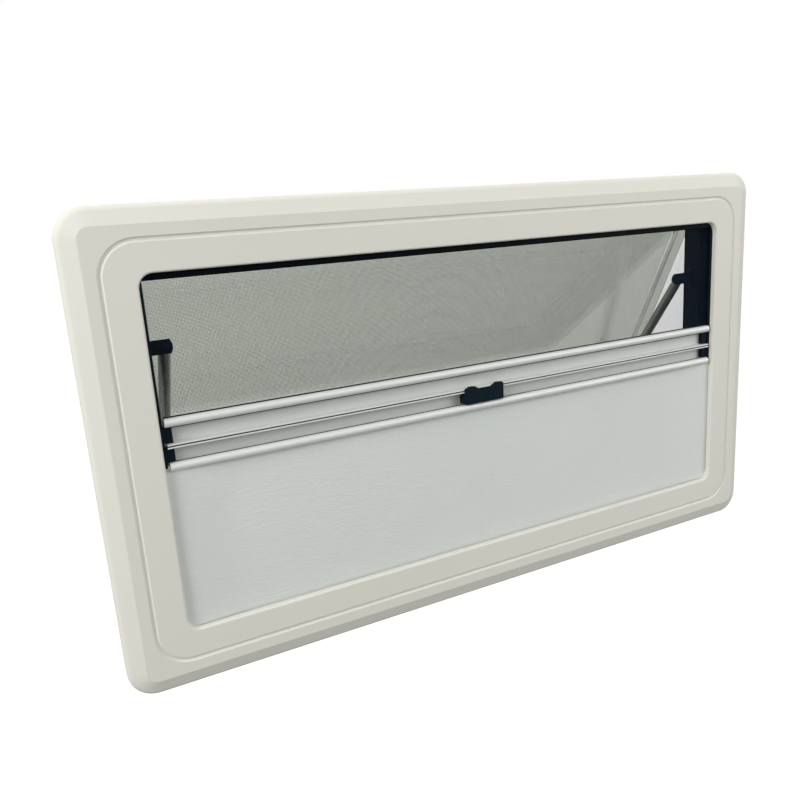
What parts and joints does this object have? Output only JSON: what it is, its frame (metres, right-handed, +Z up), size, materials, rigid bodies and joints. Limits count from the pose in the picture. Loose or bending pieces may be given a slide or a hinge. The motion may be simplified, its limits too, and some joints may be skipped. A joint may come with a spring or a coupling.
{
  "type": "truck body window",
  "caption": "Top-hung camper window for a truck body: cream room-side trim with flyscreen and roller blind, black outer frame, smoked double pane held open on stays",
  "frame": {"origin": "on the bearing face of the outer flange, at the middle of its sill run", "axes": "X right as seen from the room, Y out of the vehicle, Z up"},
  "size_m": [1.016, 0.2917, 0.566],
  "materials": {
    "trim_plastic": "satin cream moulding",
    "black_plastic": "matt black",
    "black_metal": "black powder coat",
    "bar_metal": "light satin extrusion",
    "stay_metal": "satin tube",
    "roller_tube": "plain tube",
    "screen_mesh": "fine dark mesh",
    "blind_cloth": "pale woven blind",
    "smoked_acrylic": "smoked clear sheet",
    "seal_rubber": "matt rubber"
  },
  "bodies": {
    "root": {"trim_frame": "trim_plastic", "side_guide_left": "black_plastic", "side_guide_right": "black_plastic", "flyscreen_slider_left": "black_plastic", "flyscreen_slider_right": "black_plastic", "blind_slider_left": "black_plastic", "blind_slider_right": "black_plastic", "bar_catch": "black_plastic", "stay_bracket_left": "black_plastic", "stay_bracket_right": "black_plastic", "stay_head_left": "black_plastic", "stay_head_right": "black_plastic", "stay_collar_left": "black_plastic", "stay_collar_right": "black_plastic", "stay_foot_left": "black_plastic", "stay_foot_right": "black_plastic", "latch_base_left": "black_plastic", "latch_base_right": "black_plastic", "latch_handle_left": "black_plastic", "latch_handle_right": "black_plastic", "latch_keeper_left": "black_plastic", "latch_keeper_right": "black_plastic", "outer_frame": "black_metal", "hinge_socket": "black_metal", "pane_hinge_rail": "black_metal", "flyscreen_cassette": "black_metal", "blind_cassette": "black_metal", "flyscreen_bar_web": "bar_metal", "flyscreen_bar_bead": "bar_metal", "flyscreen_bar_lip": "bar_metal", "blind_bar_web": "bar_metal", "blind_bar_bead": "bar_metal", "blind_bar_lip": "bar_metal", "stay_tube_left": "stay_metal", "stay_tube_right": "stay_metal", "stay_rod_left": "stay_metal", "stay_rod_right": "stay_metal", "flyscreen_roller": "roller_tube", "blind_roller": "roller_tube", "flyscreen": "screen_mesh", "blind_fabric": "blind_cloth", "outer_glazing": "smoked_acrylic", "inner_glazing": "smoked_acrylic", "pane_seal": "seal_rubber"}
  },
  "joints": []
}
